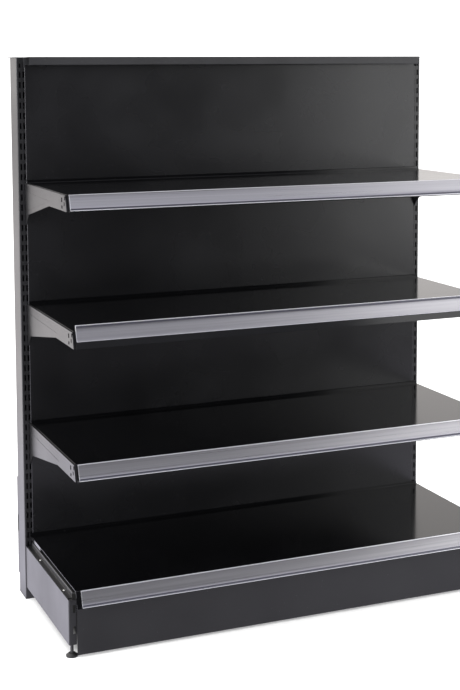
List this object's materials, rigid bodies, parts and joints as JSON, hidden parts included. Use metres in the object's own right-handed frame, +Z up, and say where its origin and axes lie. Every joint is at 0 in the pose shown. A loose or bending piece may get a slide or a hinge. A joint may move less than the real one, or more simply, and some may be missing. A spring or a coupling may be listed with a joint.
{
  "type": "gondola shelving unit",
  "caption": "Single-sided free-standing gondola bay: slotted uprights and flat back panels, with a deep base shelf and kick plate below hook-on shelves with ticket strips.",
  "frame": {"origin": "centre of the overall box, at floor level", "axes": "+X to the right as seen by the shopper, +Y from the open front to the back, +Z up"},
  "size_m": [1.137, 0.5135, 1.358],
  "materials": {
    "black_powder_coated_steel": "satin",
    "clear_grey_plastic": "gloss",
    "black_plastic": "matte",
    "zinc_plated_steel": "satin"
  },
  "bodies": {
    "frame": {"upright_left": "black_powder_coated_steel", "upright_right": "black_powder_coated_steel", "upright_foot_left": "black_plastic", "upright_foot_right": "black_plastic", "upright_cap_left": "black_plastic", "upright_cap_right": "black_plastic", "back_panel_1": "black_powder_coated_steel", "back_panel_2": "black_powder_coated_steel", "back_panel_3": "black_powder_coated_steel", "back_panel_4": "black_powder_coated_steel", "back_panel_5": "black_powder_coated_steel", "cross_beam_upper": "black_powder_coated_steel", "cross_beam_lower": "black_powder_coated_steel", "cross_beam_bolts": "zinc_plated_steel", "rear_brace": "black_powder_coated_steel", "rear_brace_bolts": "zinc_plated_steel", "top_rail": "black_powder_coated_steel", "base_bracket_left": "black_powder_coated_steel", "base_bracket_right": "black_powder_coated_steel", "base_riser_left": "black_powder_coated_steel", "base_riser_right": "black_powder_coated_steel", "riser_rivets": "zinc_plated_steel", "foot_nut_left": "black_powder_coated_steel", "foot_nut_right": "black_powder_coated_steel"},
    "kick": {"kick_plate": "black_powder_coated_steel"},
    "base_shelf": {"base_deck": "black_powder_coated_steel", "base_stiffener": "black_powder_coated_steel", "base_rib_left": "black_powder_coated_steel", "base_rib_right": "black_powder_coated_steel"},
    "base_strip": {"ticket_strip_base": "clear_grey_plastic"},
    "brackets_1": {"shelf_bracket_1_left": "black_powder_coated_steel", "shelf_bracket_1_right": "black_powder_coated_steel"},
    "shelf_1": {"shelf_deck_1": "black_powder_coated_steel", "shelf_stiffener_1": "black_powder_coated_steel"},
    "strip_1": {"ticket_strip_1": "clear_grey_plastic"},
    "brackets_2": {"shelf_bracket_2_left": "black_powder_coated_steel", "shelf_bracket_2_right": "black_powder_coated_steel"},
    "shelf_2": {"shelf_deck_2": "black_powder_coated_steel", "shelf_stiffener_2": "black_powder_coated_steel"},
    "strip_2": {"ticket_strip_2": "clear_grey_plastic"},
    "brackets_3": {"shelf_bracket_3_left": "black_powder_coated_steel", "shelf_bracket_3_right": "black_powder_coated_steel"},
    "shelf_3": {"shelf_deck_3": "black_powder_coated_steel", "shelf_stiffener_3": "black_powder_coated_steel"},
    "strip_3": {"ticket_strip_3": "clear_grey_plastic"},
    "foot_left": {"foot_pad_left": "black_plastic"},
    "stud_left": {"foot_stud_left": "black_powder_coated_steel"},
    "foot_right": {"foot_pad_right": "black_plastic"},
    "stud_right": {"foot_stud_right": "black_powder_coated_steel"}
  },
  "joints": [
    {"name": "kick_plate_pull", "type": "slide", "parent": "frame", "child": "kick", "axis": [0, -1, 0], "range_m": [0, 0.08]},
    {"name": "base_shelf_lift", "type": "slide", "parent": "frame", "child": "base_shelf", "axis": [0, 0, 1], "range_m": [0, 0.06]},
    {"name": "base_strip_slide", "type": "slide", "parent": "base_shelf", "child": "base_strip", "axis": [1, 0, 0], "range_m": [0, 0.2]},
    {"name": "brackets_1_unhook", "type": "slide", "parent": "frame", "child": "brackets_1", "axis": [0, 0, 1], "range_m": [0, 0.007]},
    {"name": "shelf_1_lift", "type": "slide", "parent": "brackets_1", "child": "shelf_1", "axis": [0, 0, 1], "range_m": [0, 0.06]},
    {"name": "strip_1_slide", "type": "slide", "parent": "shelf_1", "child": "strip_1", "axis": [1, 0, 0], "range_m": [0, 0.2]},
    {"name": "brackets_2_unhook", "type": "slide", "parent": "frame", "child": "brackets_2", "axis": [0, 0, 1], "range_m": [0, 0.007]},
    {"name": "shelf_2_lift", "type": "slide", "parent": "brackets_2", "child": "shelf_2", "axis": [0, 0, 1], "range_m": [0, 0.06]},
    {"name": "strip_2_slide", "type": "slide", "parent": "shelf_2", "child": "strip_2", "axis": [1, 0, 0], "range_m": [0, 0.2]},
    {"name": "brackets_3_unhook", "type": "slide", "parent": "frame", "child": "brackets_3", "axis": [0, 0, 1], "range_m": [0, 0.007]},
    {"name": "shelf_3_lift", "type": "slide", "parent": "brackets_3", "child": "shelf_3", "axis": [0, 0, 1], "range_m": [0, 0.06]},
    {"name": "strip_3_slide", "type": "slide", "parent": "shelf_3", "child": "strip_3", "axis": [1, 0, 0], "range_m": [0, 0.2]},
    {"name": "foot_left_height", "type": "slide", "parent": "frame", "child": "foot_left", "axis": [0, 0, 1], "range_m": [-0.015, 0]},
    {"name": "foot_left_screw", "type": "hinge", "parent": "foot_left", "child": "stud_left", "pos_m": [-0.5495, -0.1982, 0.03], "axis": [0, 0, 1], "range_deg": [-4330, 0]},
    {"name": "foot_right_height", "type": "slide", "parent": "frame", "child": "foot_right", "axis": [0, 0, 1], "range_m": [-0.015, 0]},
    {"name": "foot_right_screw", "type": "hinge", "parent": "foot_right", "child": "stud_right", "pos_m": [0.5495, -0.1982, 0.03], "axis": [0, 0, 1], "range_deg": [-4330, 0]}
  ],
  "couplings": [
    {"joint": "foot_left_screw", "follows": "foot_left_height", "rad_per_m": 5026.5},
    {"joint": "foot_right_screw", "follows": "foot_right_height", "rad_per_m": 5026.5}
  ]
}
